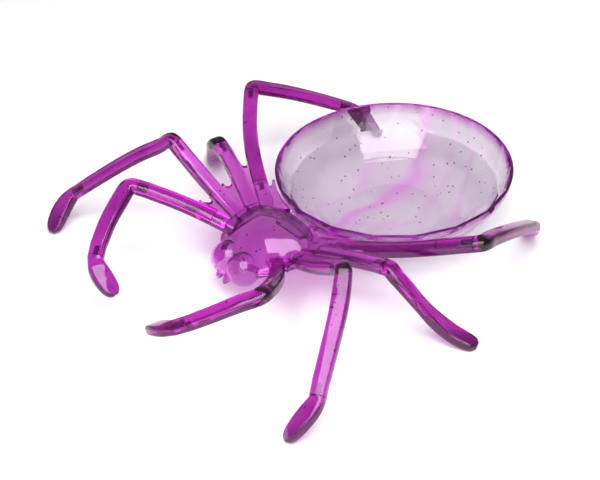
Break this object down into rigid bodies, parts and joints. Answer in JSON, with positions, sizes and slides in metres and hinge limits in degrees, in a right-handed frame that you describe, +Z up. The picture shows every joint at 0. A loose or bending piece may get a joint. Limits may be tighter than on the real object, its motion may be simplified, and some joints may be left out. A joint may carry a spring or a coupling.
{
  "type": "spider-shaped sweets bowl",
  "caption": "Spider-shaped sweets bowl in see-through plastic: faceted round dish as abdomen, domed body with eyes and fangs, arched push-fit legs.",
  "frame": {"origin": "middle of the bowl's flat underside, on the floor", "axes": "+Z up, -Y towards the head, +X towards the spider's left"},
  "size_m": [0.2674, 0.2796, 0.0641],
  "materials": {
    "body_plastic": "clear purple moulded plastic, high gloss",
    "leg_plastic": "clear deep purple moulded plastic, high gloss",
    "bowl_plastic": "nearly clear lilac moulded plastic with darker swirls and specks, high gloss"
  },
  "bodies": {
    "body": {"body_shell": "body_plastic"},
    "bowl": {"bowl": "bowl_plastic"},
    "femur_1_left": {"femur_1_left": "leg_plastic"},
    "shin_1_left": {"shin_1_left": "leg_plastic"},
    "foot_1_left": {"foot_1_left": "leg_plastic"},
    "shin_2_left": {"shin_2_left": "leg_plastic"},
    "foot_2_left": {"foot_2_left": "leg_plastic"},
    "lower_leg_3_left": {"lower_leg_3_left": "leg_plastic"},
    "femur_4_left": {"femur_4_left": "leg_plastic"},
    "shin_4_left": {"shin_4_left": "leg_plastic"},
    "foot_4_left": {"foot_4_left": "leg_plastic"},
    "femur_1_right": {"femur_1_right": "leg_plastic"},
    "shin_1_right": {"shin_1_right": "leg_plastic"},
    "foot_1_right": {"foot_1_right": "leg_plastic"},
    "shin_2_right": {"shin_2_right": "leg_plastic"},
    "foot_2_right": {"foot_2_right": "leg_plastic"},
    "lower_leg_3_right": {"lower_leg_3_right": "leg_plastic"},
    "femur_4_right": {"femur_4_right": "leg_plastic"},
    "shin_4_right": {"shin_4_right": "leg_plastic"},
    "foot_4_right": {"foot_4_right": "leg_plastic"}
  },
  "joints": [
    {"name": "bowl_pull", "type": "slide", "parent": "body", "child": "bowl", "axis": [0, 1, 0], "range_m": [0, 0.016]},
    {"name": "femur_1_left_pull", "type": "slide", "parent": "body", "child": "femur_1_left", "axis": [0.8029, -0.4942, 0.3335], "range_m": [0, 0.012]},
    {"name": "shin_1_left_pull", "type": "slide", "parent": "femur_1_left", "child": "shin_1_left", "axis": [0.5502, -0.7292, 0.4069], "range_m": [0, 0.012]},
    {"name": "foot_1_left_pull", "type": "slide", "parent": "shin_1_left", "child": "foot_1_left", "axis": [-0.6241, -0.6812, -0.3828], "range_m": [0, 0.012]},
    {"name": "shin_2_left_pull", "type": "slide", "parent": "body", "child": "shin_2_left", "axis": [0.8026, -0.1541, 0.5763], "range_m": [0, 0.012]},
    {"name": "foot_2_left_pull", "type": "slide", "parent": "shin_2_left", "child": "foot_2_left", "axis": [0.4944, -0.6591, -0.5667], "range_m": [0, 0.012]},
    {"name": "lower_leg_3_left_pull", "type": "slide", "parent": "body", "child": "lower_leg_3_left", "axis": [0.9644, 0.1713, 0.2013], "range_m": [0, 0.012]},
    {"name": "femur_4_left_pull", "type": "slide", "parent": "body", "child": "femur_4_left", "axis": [0.885, 0.4106, 0.2193], "range_m": [0, 0.012]},
    {"name": "shin_4_left_pull", "type": "slide", "parent": "femur_4_left", "child": "shin_4_left", "axis": [0.7415, 0.6344, 0.2184], "range_m": [0, 0.012]},
    {"name": "foot_4_left_pull", "type": "slide", "parent": "shin_4_left", "child": "foot_4_left", "axis": [-0.3419, 0.812, -0.4731], "range_m": [0, 0.012]},
    {"name": "femur_1_right_pull", "type": "slide", "parent": "body", "child": "femur_1_right", "axis": [-0.8029, -0.4942, 0.3335], "range_m": [0, 0.012]},
    {"name": "shin_1_right_pull", "type": "slide", "parent": "femur_1_right", "child": "shin_1_right", "axis": [-0.5502, -0.7292, 0.4069], "range_m": [0, 0.012]},
    {"name": "foot_1_right_pull", "type": "slide", "parent": "shin_1_right", "child": "foot_1_right", "axis": [0.6241, -0.6812, -0.3828], "range_m": [0, 0.012]},
    {"name": "shin_2_right_pull", "type": "slide", "parent": "body", "child": "shin_2_right", "axis": [-0.8026, -0.1541, 0.5763], "range_m": [0, 0.012]},
    {"name": "foot_2_right_pull", "type": "slide", "parent": "shin_2_right", "child": "foot_2_right", "axis": [-0.4944, -0.6591, -0.5667], "range_m": [0, 0.012]},
    {"name": "lower_leg_3_right_pull", "type": "slide", "parent": "body", "child": "lower_leg_3_right", "axis": [-0.9644, 0.1713, 0.2013], "range_m": [0, 0.012]},
    {"name": "femur_4_right_pull", "type": "slide", "parent": "body", "child": "femur_4_right", "axis": [-0.885, 0.4106, 0.2193], "range_m": [0, 0.012]},
    {"name": "shin_4_right_pull", "type": "slide", "parent": "femur_4_right", "child": "shin_4_right", "axis": [-0.7415, 0.6344, 0.2184], "range_m": [0, 0.012]},
    {"name": "foot_4_right_pull", "type": "slide", "parent": "shin_4_right", "child": "foot_4_right", "axis": [0.3419, 0.812, -0.4731], "range_m": [0, 0.012]}
  ]
}
